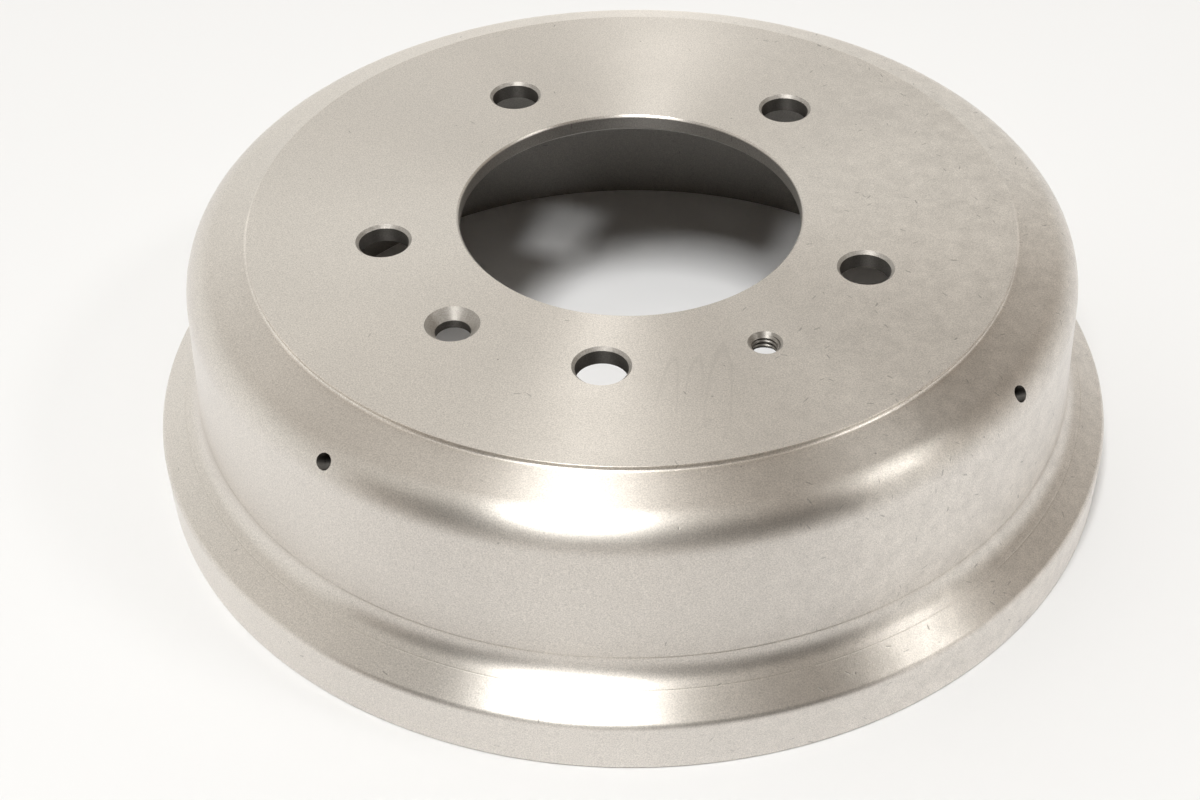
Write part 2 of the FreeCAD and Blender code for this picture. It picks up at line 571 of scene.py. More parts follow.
@dataclass
class BrakeDrum:
    """The turned casting: web, shoulder, side wall, flange, rim and friction surface.

    The small step round the wheel face has the upright side and the round foot that the
    nose of a lathe tool leaves.
    """

    friction_radius: float = 139.7
    inner_taper: float = 5.0
    rim_width: float = 26.6
    rim_height: float = 18.5
    rim_edge_break: float = 0.5
    rim_corner_radius: float = 2.9
    flange_slope: float = 34.2
    wall_thickness: float = 9.4
    wall_draft: float = 3.4
    wall_foot_radius: float = 9.0
    height: float = 87.7
    web_thickness: float = 6.0
    crown_thickness: float = 11.5
    hub_seat_reach: float = 23.5
    face_inset: float = 12.3
    face_step_width: float = 0.9
    face_step_depth: float = 1.6
    face_edge_break: float = 0.15
    step_foot_radius: float = 0.9
    shoulder_slope: float = 14.0
    shoulder_radius: float = 12.5
    shoulder_rows: int = 24
    bore_radius: float = 57.15
    bore_face_chamfer: float = 0.75
    bore_seat_chamfer: float = 1.0
    stud_circle: float = 82.55
    window_half: float = 12.0
    window_rows: int = 16
    drilling_columns: int = 3
    drilling_rows: int = 6
    wall_line_height: float = 33.0
    wall_line_width: float = 0.45
    wall_line_depth: float = 0.10
    flange_line_radius: float = 157.0
    flange_line_width: float = 0.35
    flange_line_depth: float = 0.05
    # Painted shade inside the drum and in the bore, and a painted highlight on the step round the
    # wheel face
    inside_finish_and_shade: float = 0.6
    bore_finish_and_shade: float = 0.3
    edge_painted_highlight: float = 1.2
    outline: Array = field(default_factory=lambda: np.zeros((0, 2)))
    lengths: Array = field(default_factory=lambda: np.zeros(0))
    shoulder_centre: Array = field(default_factory=lambda: np.zeros(2))

    @property
    def face_radius(self) -> float:
        """Radius of the wheel face's edge."""
        return self.friction_radius - self.face_inset

    @property
    def seat_height(self) -> float:
        """Height of the hub seat."""
        return self.height - self.web_thickness

    def web_holes(self) -> list[WebHole]:
        """Five stud holes, the countersunk hole and the tapped hole, with their sizes."""
        holes = [WebHole(-90.0 + 72.0 * number, 8.25, 9.25) for number in range(5)]
        holes.append(WebHole(-126.0, 5.7, 8.8))
        holes.append(WebHole(-54.0, 4.0, 5.5, Wall.THREADED))
        return holes

    def balance_holes(self) -> list[BalanceHole]:
        """The two blind drillings of the shoulder."""
        return [BalanceHole(-122.0), BalanceHole(-30.2)]

    def _web_rows(self) -> Array:
        """Radii of the rows that cross the holes of the web."""
        return np.linspace(self.stud_circle - self.window_half,
                           self.stud_circle + self.window_half, self.window_rows + 1)

    def draw_outline(self) -> None:
        """Draw the closed section from the bore over the face, down and back inside."""
        top = self.height
        seat = self.seat_height
        crown = top - self.crown_thickness
        bore = self.bore_radius
        rim = self.friction_radius + self.rim_width
        friction_top = crown - self.inner_taper
        web_rows = self._web_rows()
        band_fall = falling(self.shoulder_slope)
        wall_fall = falling(90.0 - self.wall_draft)
        flange_fall = falling(self.flange_slope)
        step_top = np.array([self.face_radius, top])
        step_foot = step_top + np.array([self.face_step_width, -self.face_step_depth])
        wall_point = np.array([self.friction_radius + self.wall_thickness, friction_top])
        rim_corner = np.array([rim, self.rim_height])
        rim_foot = np.array([rim, self.rim_edge_break])
        step_corner = meeting(step_top, -UP[1:], step_foot, band_fall)
        shoulder_corner = meeting(step_foot, band_fall, wall_point, wall_fall)
        wall_foot = meeting(wall_point, wall_fall, rim_corner, flange_fall)

        line = TurnedLine(bore, seat + self.bore_seat_chamfer)
        line.line_to((bore, top - self.bore_face_chamfer), 3, 0.1)
        line.line_to((bore + self.bore_face_chamfer, top), 2)
        line.line_to((bore + self.bore_face_chamfer + 0.3, top))
        line.line_to((web_rows[0], top), 4)
        for radius in web_rows[1:]:
            line.line_to((radius, top))
        line.line_to((self.face_radius - 1.5, top), 8)
        line.round_corner(step_top, step_corner, self.face_edge_break, 3, 1, 0.2)
        line.round_corner(step_corner, shoulder_corner, self.step_foot_radius, 8)
        self.shoulder_centre = line.round_corner(
            shoulder_corner, wall_foot, self.shoulder_radius, self.shoulder_rows, 4, 0.3)
        along = (self.wall_line_height - wall_point[1]) / wall_fall[1]
        line.groove(wall_foot, wall_point + wall_fall * along, self.wall_line_width,
                    self.wall_line_depth, 8)
        line.round_corner(wall_foot, rim_corner, self.wall_foot_radius, 16)
        along = (self.flange_line_radius - line.here[0]) / flange_fall[0]
        line.groove(rim_corner, line.here + flange_fall * along, self.flange_line_width,
                    self.flange_line_depth, 1)
        line.round_corner(rim_corner, rim_foot, self.rim_corner_radius, 14, 5, 0.3)
        line.line_to(rim_foot, 4, 0.3)
        line.line_to((rim - self.rim_edge_break, 0.0), 2)
        line.line_to((self.friction_radius, 0.0), 5, 0.2)
        line.line_to((self.friction_radius, friction_top), 12, 0.2)
        line.line_to((self.friction_radius - self.inner_taper, crown), 2, 0.2)
        seat_radius = self.stud_circle + self.hub_seat_reach
        line.line_to((seat_radius + seat - crown, crown), 4, 0.2)
        line.line_to((seat_radius, seat), 2, 0.2)
        line.line_to((web_rows[-1], seat), 2)
        for radius in web_rows[-2::-1]:
            line.line_to((radius, seat))
        line.line_to((bore + self.bore_seat_chamfer, seat), 3)
        line.line_to(line.rows[0], 2)
        self.outline = np.array(line.rows)
        steps = np.linalg.norm(np.diff(self.outline, axis=0), axis=1)
        self.lengths = np.concatenate([[0.0], np.cumsum(steps)])

    def surface(self, row: Array, azimuth: Array) -> tuple[Array, Array]:
        """Points of the turned surface.

        Args:
            row: Row number, which may lie between two rows of a straight side.
            azimuth: Azimuth in degrees.

        Returns:
            Positions, and distances along the section.
        """
        numbers = np.arange(len(self.outline))
        radius = np.interp(row, numbers, self.outline[:, 0])
        height = np.interp(row, numbers, self.outline[:, 1])
        return turned(radius, height, azimuth), np.interp(row, numbers, self.lengths)

    def _finish_and_light_rows(self) -> Array:
        """How bright each row is painted: painted shade inside the drum and in the bore, where the
        metal is also rougher, and a painted highlight on the step's edge and foot.
        """
        radius, height = self.outline.T
        finish_and_painted_light = np.ones(len(radius))
        finish_and_painted_light[self._find_row(self.friction_radius, 0.0):] = self.inside_finish_and_shade
        finish_and_painted_light[radius < self.bore_radius + 0.01] = self.bore_finish_and_shade
        beyond = radius - self.face_radius
        foot = (beyond > 0.02) & (beyond < self.face_step_width + 0.05)
        foot &= height > self.height - self.face_step_depth - 0.2
        edge = np.hypot(beyond, height - self.height) < self.face_edge_break * 1.2
        # Painted highlight on the edge break and the foot of the step
        finish_and_painted_light[edge | foot] = self.edge_painted_highlight
        return finish_and_painted_light

    def _find_row(self, radius: float, height: float) -> int:
        """Number of the outline's row at a point."""
        return int(np.argmin(np.hypot(self.outline[:, 0] - radius, self.outline[:, 1] - height)))

    def _flat_ring(self, shell: Shell, hole: WebHole, window: Window, upwards: bool) -> Array:
        """Flat patch between a hole's edge and the border of its window.

        Ring s of the patch is edge + (border - edge) s.

        Args:
            shell: Mesh that the patch belongs to.
            hole: The hole.
            window: Cells that were left out for it.
            upwards: Whether the patch is on the wheel face, and not on the hub seat.

        Returns:
            Angle of each column round the hole, in radians.
        """
        if upwards:
            radius = hole.mouth_radius
            height = self.height
            finish_and_painted_light = 1.0
            shares = PATCH_SHARES
            side = 1.0
            start = self._find_row(self.bore_radius + self.bore_face_chamfer, height)
        else:
            radius = hole.outlet_radius
            height = self.seat_height
            # The hub seat gets the painted shade of the inside
            finish_and_painted_light = self.inside_finish_and_shade
            shares = PATCH_SHARES[::-1]
            side = -1.0
            start = self._find_row(self.stud_circle + self.window_half, height)
        column, row = window.border()
        border, _ = self.surface(row.astype(float), column * STEP)
        outwards, sideways = axes_at(hole.azimuth)
        offset = border - turned(self.stud_circle, height, np.array(hole.azimuth))
        angles = np.arctan2(offset @ sideways, offset @ outwards)
        order = np.argsort(angles)
        angles = angles[order]
        border = border[order]
        edge = hole.ring_at(angles, self.stud_circle, np.array(radius), np.array(height))
        points = edge + (border - edge) * shares[:, None, None]
        azimuth = np.degrees(np.arctan2(points[..., 1], points[..., 0]))
        level = np.hypot(points[..., 0], points[..., 1])
        across = self.lengths[start] + side * (level - self.outline[start, 0])
        shell.add_grid(points, across, marks_round_axle(azimuth), finish_and_painted_light)
        return angles

    def _round_patch(self, shell: Shell, hole: BalanceHole, window: Window, first_arc_row: int,
                     first_angle: float, arc_step: float) -> None:
        """Curved patch of the shoulder round a balance drilling, and the drilling.

        Both the mouth and the window's border are written as (azimuth, angle on the round),
        and ring s of the patch is mouth + (border - mouth) s in those two coordinates.

        Args:
            shell: Mesh that the patch belongs to.
            hole: The drilling.
            window: Cells that were left out for it.
            first_arc_row: Row where the shoulder's round starts.
            first_angle: Angle of that row on the round, in degrees above level.
            arc_step: Degrees from one row of the round to the next.
        """
        centre = self.shoulder_centre
        radius = self.shoulder_radius
        column, row = window.border()
        border_azimuth = column * STEP
        border_angle = first_angle - (row - first_arc_row) * arc_step
        level = centre[0] + radius * math.cos(math.radians(hole.elevation))
        sideways = np.radians((border_azimuth - hole.azimuth + 180.0) % 360.0 - 180.0) * level
        down = np.radians(hole.elevation - border_angle) * radius
        angles = np.arctan2(sideways, down)
        order = np.argsort(angles)
        angles = angles[order]
        border_angle = border_angle[order]
        border_azimuth = border_azimuth[order]
        mouth = hole.mouth(angles, centre, radius)
        mouth_azimuth = np.degrees(np.arctan2(mouth[:, 1], mouth[:, 0]))
        mouth_level = np.hypot(mouth[:, 0], mouth[:, 1]) - centre[0]
        mouth_angle = np.degrees(np.arctan2(mouth[:, 2] - centre[1], mouth_level))
        mouth_azimuth = border_azimuth + (mouth_azimuth - border_azimuth + 180.0) % 360.0 - 180.0
        shares = PATCH_SHARES[:, None]
        azimuth = mouth_azimuth + (border_azimuth - mouth_azimuth) * shares
        angle = mouth_angle + (border_angle - mouth_angle) * shares
        tilt = np.radians(angle)
        points = turned(centre[0] + radius * np.cos(tilt), centre[1] + radius * np.sin(tilt),
                        azimuth)
        across = self.lengths[first_arc_row] + np.radians(first_angle - angle) * radius
        shell.add_grid(points, across, marks_round_axle(azimuth))
        hole.build(shell, points[0], angles, centre, radius)

    def _add_web_holes(self, shell: Shell, keep: Array) -> None:
        """Add the holes of the web, and leave their windows out of the turned surface."""
        rows = self.window_rows
        web_rows = self._web_rows()
        face_row = self._find_row(web_rows[0], self.height)
        seat_row = self._find_row(web_rows[-1], self.seat_height)
        half = round(math.degrees(self.window_half / self.stud_circle) / STEP)
        for hole in self.web_holes():
            middle = round(hole.azimuth / STEP)
            face = Window(middle - half, middle + half, face_row, face_row + rows)
            seat = Window(middle - half, middle + half, seat_row, seat_row + rows)
            face.cut(keep)
            seat.cut(keep)
            angles = self._flat_ring(shell, hole, face, True)
            self._flat_ring(shell, hole, seat, False)
            hole.build(shell, angles, self.stud_circle, self.height, self.seat_height)

    def _add_balance_holes(self, shell: Shell, keep: Array) -> None:
        """Add the drillings, and leave their windows out of the turned surface."""
        top_angle = 90.0 - self.shoulder_slope
        arc_step = (top_angle - self.wall_draft) / self.shoulder_rows
        tilt = math.radians(top_angle)
        outwards = np.array([math.cos(tilt), math.sin(tilt)])
        arc_row = self._find_row(*(self.shoulder_centre + self.shoulder_radius * outwards))
        for hole in self.balance_holes():
            row = arc_row + round((top_angle - hole.elevation) / arc_step)
            column = round(hole.azimuth / STEP)
            window = Window(column - self.drilling_columns, column + self.drilling_columns,
                            row - self.drilling_rows, row + self.drilling_rows)
            window.cut(keep)
            self._round_patch(shell, hole, window, arc_row, top_angle, arc_step)

    def build(self) -> bpy.types.Object:
        """Make the whole drum as one closed mesh.

        Returns:
            The drum's object, at the origin and not yet linked to a body.
        """
        self.draw_outline()
        shell = Shell()
        rows = len(self.outline)
        keep = np.ones((rows - 1, AROUND), dtype=bool)
        self._add_web_holes(shell, keep)
        self._add_balance_holes(shell, keep)
        azimuth = np.arange(AROUND) * STEP
        row = np.arange(rows, dtype=float)[:, None] + 0 * azimuth
        points, across = self.surface(row, azimuth + 0 * row)
        shell.add_grid(points, across, marks_round_axle(azimuth), self._finish_and_light_rows()[:, None], keep)
        piece = bpy.data.objects.new("drum_casting", shell.mesh("drum_casting"))
        bpy.context.scene.collection.objects.link(piece)
        return piece


class NodeBench:
    """Short way to place and join the shader nodes of a material or world."""

    def __init__(self, owner: bpy.types.ID) -> None:
        """Work on the owner's node tree, starting empty."""
        owner.use_nodes = True
        self.tree = owner.node_tree
        self.tree.nodes.clear()

    def node(self, kind: str, inputs: dict | None = None, **settings: object) -> bpy.types.Node:
        """Add a node.

        Args:
            kind: Blender's type name of the node.
            inputs: Input values or sockets to join, by name or number.
            **settings: Properties of the node itself.

        Returns:
            The new node.
        """
        made = self.tree.nodes.new(kind)
        for name, value in settings.items():
            setattr(made, name, value)
        for key, value in (inputs or {}).items():
            if isinstance(value, Socket):
                self.tree.links.new(value, made.inputs[key])
            else:
                made.inputs[key].default_value = value
        return made

    def math(self, operation: str, *values: Socket | float) -> Socket:
        """Add a Math node and return its output."""
        return self.node("ShaderNodeMath", dict(enumerate(values)), operation=operation).outputs[0]

    def product(self, first: Socket, *others: Socket | float) -> Socket:
        """Multiply numbers one after the other."""
        for other in others:
            first = self.math("MULTIPLY", first, other)
        return first

    def vector(self, operation: str, *values: object, output: str = "Vector") -> Socket:
        """Add a Vector Math node and return its output, "Vector" or "Value"."""
        made = self.node("ShaderNodeVectorMath", dict(enumerate(values)), operation=operation)
        return made.outputs[output]

    def length(self, vector: Socket) -> Socket:
        """Length of a vector."""
        return self.vector("LENGTH", vector, output="Value")

    def scaled(self, vector: Socket, factor: Socket | float) -> Socket:
        """Vector times a number."""
        return self.node("ShaderNodeVectorMath", {0: vector, 3: factor},
                         operation="SCALE").outputs[0]

    def parts(self, vector: Socket) -> list[Socket]:
        """The three coordinates of a vector."""
        return list(self.node("ShaderNodeSeparateXYZ", {0: vector}).outputs)

    def ramp(self, value: Socket, low: float, high: float, start: float, end: float,
             kind: str = "LINEAR") -> Socket:
        """Number that goes from start to end as the value goes from low to high."""
        return self.node("ShaderNodeMapRange", {0: value, 1: low, 2: high, 3: start, 4: end},
                         interpolation_type=kind).outputs[0]

    def below(self, value: Socket, limit: float, softness: float) -> Socket:
        """Mask that falls smoothly from 1 to 0 where the value passes the limit."""
        return self.ramp(value, limit - softness, limit + softness, 1.0, 0.0, "SMOOTHSTEP")

    def blend(self, share: Socket, first: Colour | Socket, second: Colour | Socket) -> Socket:
        """Colour that goes from the first to the second with the share."""
        ends = [end if isinstance(end, Socket) else (*end, 1.0) for end in (first, second)]
        return self.node("ShaderNodeMix", {0: share, 6: ends[0], 7: ends[1]},
                         data_type="RGBA").outputs[2]

    def place(self) -> Socket:
        """Place on the object, in metres."""
        return self.node("ShaderNodeTexCoord").outputs["Object"]

    def attribute(self, name: str, output: str = "Fac") -> Socket:
        """Attribute of the mesh as a number, or as a vector with the output "Vector"."""
        return self.node("ShaderNodeAttribute", attribute_name=name).outputs[output]

    def camera_ray(self) -> Socket:
        """Mask that is 1 for what the camera itself sees."""
        return self.node("ShaderNodeLightPath").outputs["Is Camera Ray"]


@dataclass(frozen=True)
class TurnedIron:
    """Bare grey iron, finely turned, so that its shine is drawn out across the tool marks.

    Sizes are in metres. Where the attribute of painted brightness falls from 1 to 0, as in
    the holes, the bore and the inside, the metal turns from its bright colour to a dark one,
    which is painted shade, and gets rougher. Where it rises above 1, on the step round the
    wheel face, the colour is lifted as a painted highlight. The worn side of the drum, with
    more scratches and mottling, begins and is complete at two places on the X axis.
    """

    colour: Colour = (0.650, 0.609, 0.553)
    # Dark colour of the holes, the bore and the inside: painted shade
    painted_shade_colour: Colour = (0.070, 0.065, 0.058)
    roughness: float = 0.372
    roughness_swing: float = 0.015
    dull_roughness: float = 0.75
    anisotropy: float = 0.815
    noise_roughness: float = 0.58
    noise_span: tuple[float, float] = (0.28, 0.72)
    grain_size: float = 0.00042
    grain_height: float = 0.00002
    grain_shade: float = 0.21
    mark_width: float = 0.0009
    mark_height: float = 0.000005
    marks_per_turn: float = 7.0
    cloud_size: float = 0.045
    cloud_shade: float = 0.035
    mottle_size: float = 0.005
    mottle_shade: float = 0.08
    worn_side: tuple[float, float] = (0.02, 0.10)
    worn_least: float = 0.06
    scratch_cell: float = 0.0052
    scratch_length: float = 0.0010
    scratch_width: float = 0.00013
    scratch_share: float = 0.6
    scratch_shade: float = 0.38
    pit_cell: float = 0.006
    pit_radius: float = 0.0003
    pit_share: float = 0.14
    pit_shade: float = 0.4
    chatter_centre: Place = (-0.04852, -0.06678, 0.0877)
    chatter_radius: float = 0.0088
    chatter_count: float = 72.0
    chatter_height: float = 0.0000035
    smudges: tuple[tuple[float, float, float, float], ...] = (
        (0.0362, -0.0960, 0.0037, 0.0245),
        (0.0212, -0.0970, 0.0029, 0.0185),
        (0.0287, -0.0925, 0.0026, 0.0150),
    )
    smudge_height: float = 0.0877
    smudge_depth: float = 0.002
    smudge_rim: float = 1.25
    smudge_bend: float = 0.5
    smudge_bend_size: float = 0.012
    smudge_shade: float = 0.085

    def _noise(self, bench: NodeBench, place: Socket, size: float, detail: float) -> Socket:
        """Noise whose bumps have about the given size."""
        return bench.node("ShaderNodeTexNoise", {
            "Vector": place, "Scale": 1.0 / size, "Detail": detail,
            "Roughness": self.noise_roughness}).outputs[0]

    def _swing(self, bench: NodeBench, noise: Socket, amount: float) -> Socket:
        """Factor that swings about 1 by the amount as the noise goes from low to high."""
        return bench.ramp(noise, *self.noise_span, 1.0 - amount, 1.0 + amount)

    def _cells(self, bench: NodeBench, place: Socket, size: float) -> tuple[Socket, ...]:
        """Scattered points: offset from the nearest one, its random colour and its chance."""
        cell = bench.node("ShaderNodeTexVoronoi", {"Vector": place, "Scale": 1.0 / size})
        offset = bench.vector("SUBTRACT", place, cell.outputs["Position"])
        chance = bench.node("ShaderNodeTexWhiteNoise", {"Vector": cell.outputs["Color"]})
        return offset, cell.outputs["Color"], chance.outputs["Value"]

    def _scratches(self, bench: NodeBench, place: Socket, worn: Socket) -> Socket:
        """Mask of short scratches, which are more frequent on the worn side.

        A scratch is where a plane through a scattered point, with a random normal, cuts
        the surface, as far as the scratch's length from the point.
        """
        offset, random, chance = self._cells(bench, place, self.scratch_cell)
        normal = bench.vector("NORMALIZE", bench.vector("SUBTRACT", random, (0.5, 0.5, 0.5)))
        aside = bench.math("ABSOLUTE", bench.vector("DOT_PRODUCT", offset, normal, output="Value"))
        line = bench.below(aside, self.scratch_width, self.scratch_width * 0.8)
        near = bench.below(bench.length(offset), self.scratch_length, self.scratch_length * 0.3)
        share = bench.product(worn, self.scratch_share)
        return bench.product(line, near, bench.math("LESS_THAN", chance, share))

    def _pits(self, bench: NodeBench, place: Socket) -> Socket:
        """Mask of scattered pin-prick pores of the casting."""
        offset, _, chance = self._cells(bench, place, self.pit_cell)
        near = bench.below(bench.length(offset), self.pit_radius, self.pit_radius * 0.5)
        return bench.product(near, bench.math("LESS_THAN", chance, self.pit_share))

    def _smudges(self, bench: NodeBench, place: Socket, grain: Socket) -> Socket:
        """Mask of the faint dried rims of a few long smudges on the wheel face.

        Each rim is where (offset / half size), bent a little by a noise, has the length
        smudge_rim, and it fades out towards the front.
        """
        bend = bench.product(self._noise(bench, place, self.smudge_bend_size, 1.0),
                             self.smudge_bend)
        total: Socket | float = 0.0
        for x, y, half_width, half_length in self.smudges:
            offset = bench.vector("SUBTRACT", place, (x, y, self.smudge_height))
            share = bench.vector("DIVIDE", offset, (half_width, half_length, self.smudge_depth))
            length = bench.math("ADD", bench.length(share), bend)
            rim = bench.math("ABSOLUTE", bench.math("SUBTRACT", length, self.smudge_rim))
            forward = bench.product(bench.parts(share)[1], -1.0)
            arch = bench.product(bench.below(rim, 0.09, 0.08), bench.below(forward, 0.35, 0.6))
            total = bench.math("MAXIMUM", total, arch)
        return bench.product(total, bench.ramp(grain, 0.35, 0.55, 0.2, 1.0))

    def _chatter(self, bench: NodeBench, place: Socket) -> Socket:
        """Height of the ticks down the countersink: sin(count x angle) inside its mouth."""
        offset = bench.vector("SUBTRACT", place, self.chatter_centre)
        flat = bench.vector("MULTIPLY", offset, (1.0, 1.0, 0.0))
        parts = bench.parts(flat)
        angle = bench.math("ARCTAN2", parts[1], parts[0])
        wave = bench.math("SINE", bench.product(angle, self.chatter_count))
        inside = bench.math("LESS_THAN", bench.length(flat), self.chatter_radius)
        return bench.product(wave, inside, self.chatter_height)

    def _marks(self, bench: NodeBench, place: Socket) -> Socket:
        """Noise drawn out along the tool marks, which run round the axle."""
        level = bench.vector("NORMALIZE", bench.vector("MULTIPLY", place, (1.0, 1.0, 0.0)))
        across = bench.math("DIVIDE", bench.attribute("across"), self.mark_width)
        depth = bench.node("ShaderNodeCombineXYZ", {2: across}).outputs[0]
        arcs = bench.scaled(level, self.marks_per_turn)
        return self._noise(bench, bench.vector("ADD", arcs, depth), 1.0, 2.0)

    def material(self) -> bpy.types.Material:
        """Build the node material."""
        made = bpy.data.materials.new("turned_iron")
        bench = NodeBench(made)
        place = bench.place()
        finish_and_painted_light = bench.attribute("finish_and_painted_light")
        grain = self._noise(bench, place, self.grain_size, 2.0)
        cloud = self._noise(bench, place, self.cloud_size, 3.0)
        mottle = self._noise(bench, place, self.mottle_size, 2.0)
        worn = bench.ramp(bench.parts(place)[0], *self.worn_side, self.worn_least, 1.0)
        scratches = self._scratches(bench, place, worn)
        pits = self._pits(bench, place)

        height = bench.math("ADD", bench.product(grain, self.grain_height),
                            bench.product(self._marks(bench, place), self.mark_height))
        height = bench.math("MULTIPLY_ADD", bench.math("MAXIMUM", scratches, pits),
                            -self.grain_height, height)
        height = bench.math("ADD", height, self._chatter(bench, place))
        bump = bench.node("ShaderNodeBump", {"Height": height, "Distance": 1.0, "Strength": 1.0})

        mottle = bench.math("SUBTRACT", self._swing(bench, mottle, self.mottle_shade), 1.0)
        # Painted highlight: the colour is lifted where the attribute passes 1, on the step round
        # the wheel face, varied by the cloud noise
        painted_edge_highlight = bench.product(bench.math("SUBTRACT", finish_and_painted_light, 1.0),
                               bench.math("GREATER_THAN", finish_and_painted_light, 1.0),
                               bench.ramp(cloud, 0.4, 0.6, 0.4, 1.2))
        shade = bench.product(self._swing(bench, grain, self.grain_shade),
                              self._swing(bench, cloud, self.cloud_shade),
                              bench.math("MULTIPLY_ADD", mottle, worn, 1.0),
                              bench.math("ADD", painted_edge_highlight, 1.0))
        for mask, amount in ((scratches, self.scratch_shade), (pits, self.pit_shade),
                             (self._smudges(bench, place, grain), self.smudge_shade)):
            shade = bench.product(shade, bench.math("MULTIPLY_ADD", mask, -amount, 1.0))
        rough = bench.node("ShaderNodeMix", {
            0: finish_and_painted_light, 2: self.dull_roughness,
            3: bench.ramp(cloud, 0.3, 0.7, self.roughness - self.roughness_swing,
                          self.roughness + self.roughness_swing)})
        # The base colour blends from the painted shade colour to the bright colour
        shader = bench.node("ShaderNodeBsdfPrincipled", {
            "Base Color": bench.scaled(bench.blend(finish_and_painted_light, self.painted_shade_colour, self.colour), shade),
            "Metallic": 1.0,
            "Roughness": rough.outputs[0],
            "Anisotropic": self.anisotropy,
            "Anisotropic Rotation": 0.25,
            "Tangent": bench.attribute("lay", "Vector"),
            "Normal": bump.outputs[0],
        })
        bench.node("ShaderNodeOutputMaterial", {"Surface": shader.outputs[0]})
        return made


@dataclass(frozen=True)
class PaleFloor:
    """Matt white floor, with its sizes in metres.

    The camera sees it a little darker than it is, so that it doesn't clip, apart from the
    disc under the drum, which the camera sees lighter as painted light. Far away it fades
    into the plain pale background. To the drum it is dimmer in front than behind, which is
    painted shade on the floor in front.
    """

    colour: Colour = (0.945, 0.957, 0.985)
    # Painted shade on the floor in front, seen in the drum's reflections and bounced light, not by
    # the camera
    front_shade_colour: Colour = (0.37, 0.335, 0.295)
    front_shade_span: tuple[float, float] = (-0.21, -0.57)
    seen_colour: Colour = (0.786, 0.786, 0.782)
    # Painted light: the camera sees the floor under the drum lighter than the rest
    under_drum_light_colour: Colour = (1.0, 0.99, 0.98)
    disc_radius: float = 0.152
    fade_span: tuple[float, float] = (0.8, 2.2)
    background: float = 0.93

    def material(self) -> bpy.types.Material:
        """Build the node material."""
        made = bpy.data.materials.new("pale_floor")
        bench = NodeBench(made)
        place = bench.place()
        camera = bench.camera_ray()
        reach = bench.length(place)
        # Mask of the painted shade in front
        front = bench.ramp(bench.parts(place)[1], *self.front_shade_span, 0.0, 1.0, "SMOOTHSTEP")
        # Mask of the painted light under the drum
        under = bench.math("LESS_THAN", reach, self.disc_radius)
        far = bench.ramp(reach, *self.fade_span, 0.0, 1.0, "SMOOTHSTEP")
        shone = bench.blend(front, self.colour, self.front_shade_colour)
        seen = bench.blend(under, self.seen_colour, self.under_drum_light_colour)
        surface = bench.node("ShaderNodeBsdfDiffuse", {"Color": bench.blend(camera, shone, seen)})
        plain = bench.node("ShaderNodeEmission", {"Strength": self.background})
        faded = bench.node("ShaderNodeMixShader", {
            0: bench.product(far, camera), 1: surface.outputs[0], 2: plain.outputs[0]})
        bench.node("ShaderNodeOutputMaterial", {"Surface": faded.outputs[0]})
        return made


@dataclass(frozen=True)
class RoomZone:
    """Soft-edged rectangle on the wall of the room that is brighter or dimmer than the rest.

    Its half width and half height are tangents of angles, seen from the drum.
    """

    azimuth: float
    elevation: float
    half_width: float
    half_height: float
    softness: float
    strength: float

    def mask(self, bench: NodeBench, ray: Socket) -> Socket:
        """Add the zone's brightness for a ray: fade sideways, fade upwards, strength.

        Args:
            bench: Node tree of the world.
            ray: Socket with the ray's direction.

        Returns:
            Socket with the zone's share of the light.
        """
        ahead = direction(self.azimuth, self.elevation)
        sideways = marks_round_axle(np.array(self.azimuth))
        upwards = np.cross(ahead, sideways)
        parts = [bench.vector("DOT_PRODUCT", ray, tuple(axis.tolist()), output="Value")
                 for axis in (ahead, sideways, upwards)]
        near = bench.math("MAXIMUM", parts[0], 0.001)
        offsets = [bench.math("DIVIDE", bench.math("ABSOLUTE", part), near) for part in parts[1:]]
        fades = [bench.below(offset, half, self.softness / 2)
                 for offset, half in zip(offsets, (self.half_width, self.half_height))]
        return bench.product(*fades, self.strength, bench.math("GREATER_THAN", parts[0], 0.0))


@dataclass(frozen=True)
class SoftBox:
    """Rectangular lamp that faces the drum, sized for a distance of 1."""

    name: str
    azimuth: float
    elevation: float
    width: float
    height: float
    radiance: float
    colour: Colour = (0.985, 0.995, 1.0)
    distance: float = 4.0

    def place(self) -> None:
        """Hang the lamp at its distance in metres."""
        data = bpy.data.lights.new(self.name, "AREA")
        data.shape = "RECTANGLE"
        data.size = self.width * self.distance
        data.size_y = self.height * self.distance
        data.color = self.colour
        data.energy = self.radiance * math.pi * data.size * data.size_y
        lamp = bpy.data.objects.new(self.name, data)
        ahead = Vector(direction(self.azimuth, self.elevation).tolist())
        lamp.location = ahead * self.distance
        lamp.rotation_euler = ahead.to_track_quat("Z", "Y").to_euler()
        lamp.visible_camera = False
        bpy.context.scene.collection.objects.link(lamp)


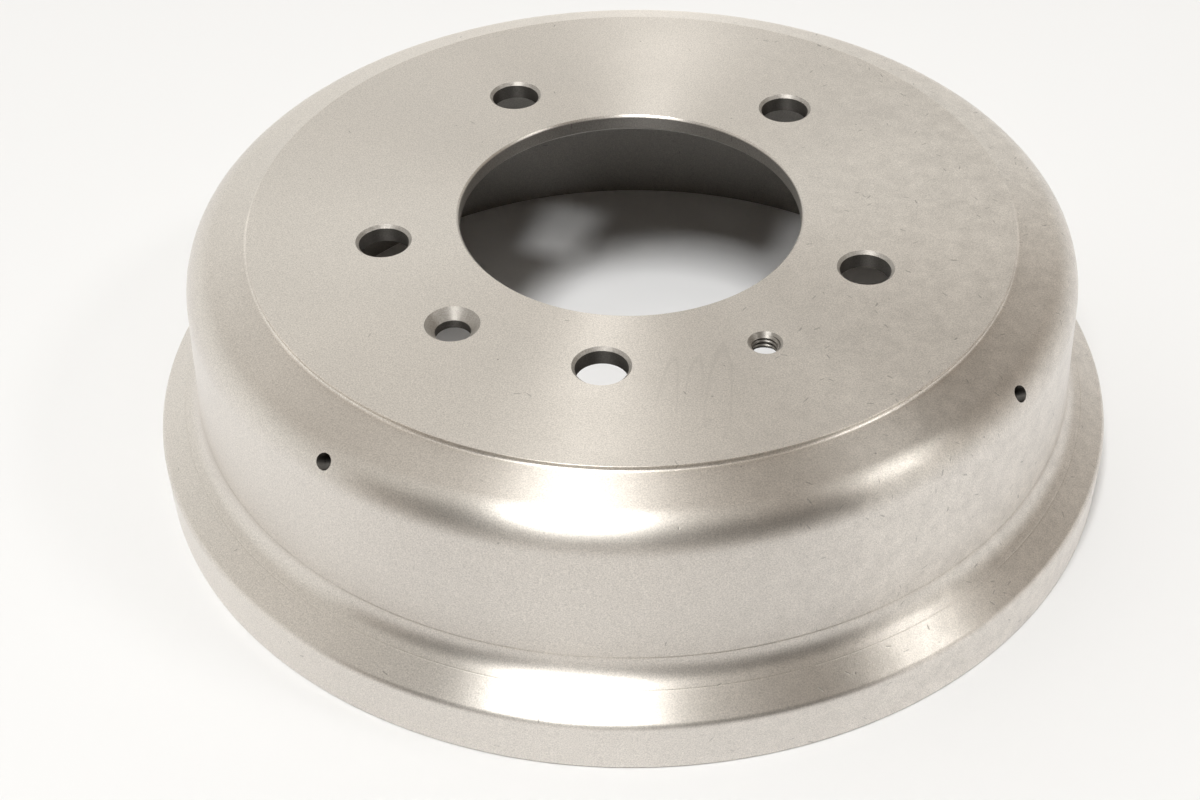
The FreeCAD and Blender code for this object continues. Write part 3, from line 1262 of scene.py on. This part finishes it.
@dataclass
class Studio:
    """Floor, soft light and camera."""

    camera_place: Place = (56.04, -519.62, 450.46)
    camera_aim: Place = (6.10, -139.53, 87.7)
    camera_roll: float = 1.28
    camera_reach: tuple[float, float] = (10.0, 50000.0)
    lens: float = 56.568
    sensor: float = 36.0
    shift_up: float = 0.08
    floor_half: float = 6000.0
    floor_height: float = -0.05
    room_level: float = 1.31
    room_fall: float = -0.90
    room_darkest: float = 0.05
    warm: Colour = (1.0, 0.82, 0.66)
    plain: Colour = (1.0, 1.0, 0.985)
    zones: tuple[RoomZone, ...] = (
        RoomZone(103.0, 7.8, 0.08, 0.89, 0.77, 0.58),
        RoomZone(250.0, 26.2, 0.39, 1.12, 0.21, -1.25),
        RoomZone(293.0, 7.3, 0.76, 0.84, 0.16, -1.18),
        RoomZone(25.0, 34.6, 0.78, 0.73, 0.72, -0.42),
        RoomZone(222.0, 14.0, 0.22, 0.46, 0.15, -0.72),
        RoomZone(200.0, 62.0, 0.30, 0.26, 0.28, 0.42),
        RoomZone(262.0, 76.0, 0.40, 0.25, 0.35, 0.50),
        RoomZone(18.0, 60.0, 0.12, 0.11, 0.14, 1.9),
    )
    lamps: tuple[SoftBox, ...] = (
        SoftBox("front_lamp", 255.3, 65.5, 0.230, 0.32, 31.0),
        SoftBox("side_lamp", 354.5, 47.0, 0.20, 0.15, 9.6),
    )

    def place_camera(self) -> None:
        """Put the camera at its place, looking at its aim, rolled about its line of sight."""
        place = np.array(self.camera_place)
        forward = unit(np.array(self.camera_aim) - place)
        level = unit(np.cross(forward, UP))
        roll = math.radians(self.camera_roll)
        right = math.cos(roll) * level + math.sin(roll) * np.cross(forward, level)
        upright = np.cross(right, forward)
        data = bpy.data.cameras.new("camera")
        data.lens = self.lens
        data.sensor_width = self.sensor
        data.shift_y = self.shift_up
        data.clip_start, data.clip_end = (reach * METRES for reach in self.camera_reach)
        camera = bpy.data.objects.new("camera", data)
        turn = Matrix(np.stack([right, upright, -forward], axis=1).tolist()).to_4x4()
        camera.matrix_world = Matrix.Translation(Vector((place * METRES).tolist())) @ turn
        bpy.context.scene.collection.objects.link(camera)
        bpy.context.scene.camera = camera

    def lay_floor(self) -> None:
        """Lay a square floor, a hair below the drum so that no two faces share a plane."""
        half = self.floor_half * METRES
        low = self.floor_height * METRES
        mesh = bpy.data.meshes.new("floor")
        corners = [(-half, -half, low), (half, -half, low), (half, half, low), (-half, half, low)]
        mesh.from_pydata(corners, [], [(0, 1, 2, 3)])
        mesh.materials.append(PaleFloor().material())
        floor = bpy.data.objects.new("floor", mesh)
        bpy.context.scene.collection.objects.link(floor)

    def light_room(self) -> None:
        """Fill the room with soft light: level + fall x height of the ray + the zones.

        The camera sees a plain pale background instead.
        """
        world = bpy.data.worlds.new("room")
        bpy.context.scene.world = world
        bench = NodeBench(world)
        ray = bench.node("ShaderNodeTexCoord").outputs["Generated"]
        height = bench.parts(ray)[2]
        total = bench.math("MULTIPLY_ADD", height, self.room_fall, self.room_level)
        for zone in self.zones:
            total = bench.math("ADD", total, zone.mask(bench, ray))
        total = bench.math("MAXIMUM", total, self.room_darkest)
        tint = bench.blend(total, self.warm, self.plain)
        room = bench.node("ShaderNodeBackground", {"Color": tint, "Strength": total})
        plain = bench.node("ShaderNodeBackground", {
            "Color": (1.0, 1.0, 1.0, 1.0), "Strength": PaleFloor().background})
        shown = bench.node("ShaderNodeMixShader", {
            0: bench.camera_ray(), 1: room.outputs[0], 2: plain.outputs[0]})
        bench.node("ShaderNodeOutputWorld", {"Surface": shown.outputs[0]})

    def set_up(self) -> None:
        """Make the floor, the light and the camera."""
        self.lay_floor()
        self.light_room()
        for lamp in self.lamps:
            lamp.place()
        self.place_camera()
        bpy.context.scene.view_settings.view_transform = "Standard"


def main() -> None:
    """Build the studio and the drum and dress it."""
    Studio().set_up()
    LOG.info("studio ready")
    drum = BrakeDrum().build()
    drum.data.materials.append(TurnedIron().material())
    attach(drum, "root")
    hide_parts("brake_drum")
    LOG.info("drum_casting: %d faces", len(drum.data.polygons))


if __name__ == "__main__":
    logging.basicConfig(level=logging.INFO)
    main()
